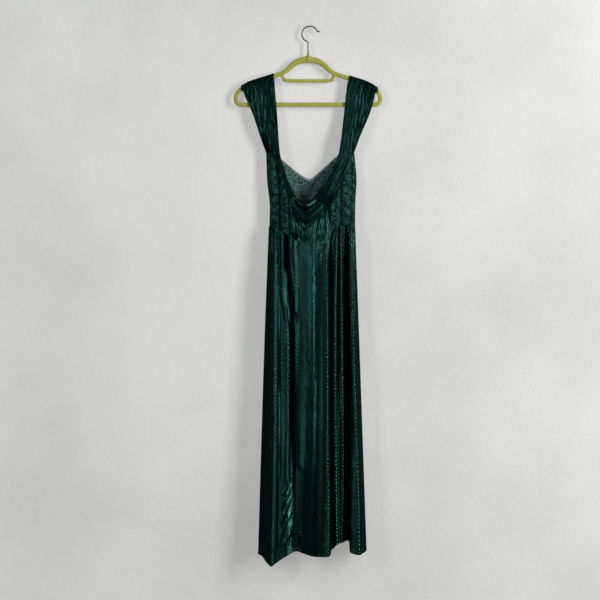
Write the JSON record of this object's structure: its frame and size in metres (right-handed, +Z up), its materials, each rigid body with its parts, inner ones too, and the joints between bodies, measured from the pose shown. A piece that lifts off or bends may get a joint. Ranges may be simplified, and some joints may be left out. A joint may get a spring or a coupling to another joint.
{
  "type": "slip dress on a clothes hanger",
  "caption": "Long empire-line slip dress with wide pleated straps, a draped cowl and a V-cut lace back, hung flat on a flocked clothes hanger with a wire hook.",
  "frame": {"origin": "inside top of the hanger's hook, where a nail or a rail carries it", "axes": "+Z up; -Y is the front of the dress and +Y is towards the wall; +X is to the right as seen from the front"},
  "size_m": [0.4474, 0.0788, 1.6155],
  "materials": {
    "satin": "finely ribbed deep green satin",
    "lace": "deep green floral lace",
    "flock": "olive green velvet flock over plastic",
    "wire": "dark bronze plated wire"
  },
  "bodies": {
    "root": {"strap_left": "satin", "strap_right": "satin", "cowl": "satin", "midriff_front": "satin", "side_front_left": "lace", "side_front_right": "lace", "bodice_back": "lace", "back_neck_binding": "lace", "skirt_front": "satin", "skirt_back": "satin", "hanger_body": "flock", "hanger_hook": "wire"}
  },
  "joints": []
}
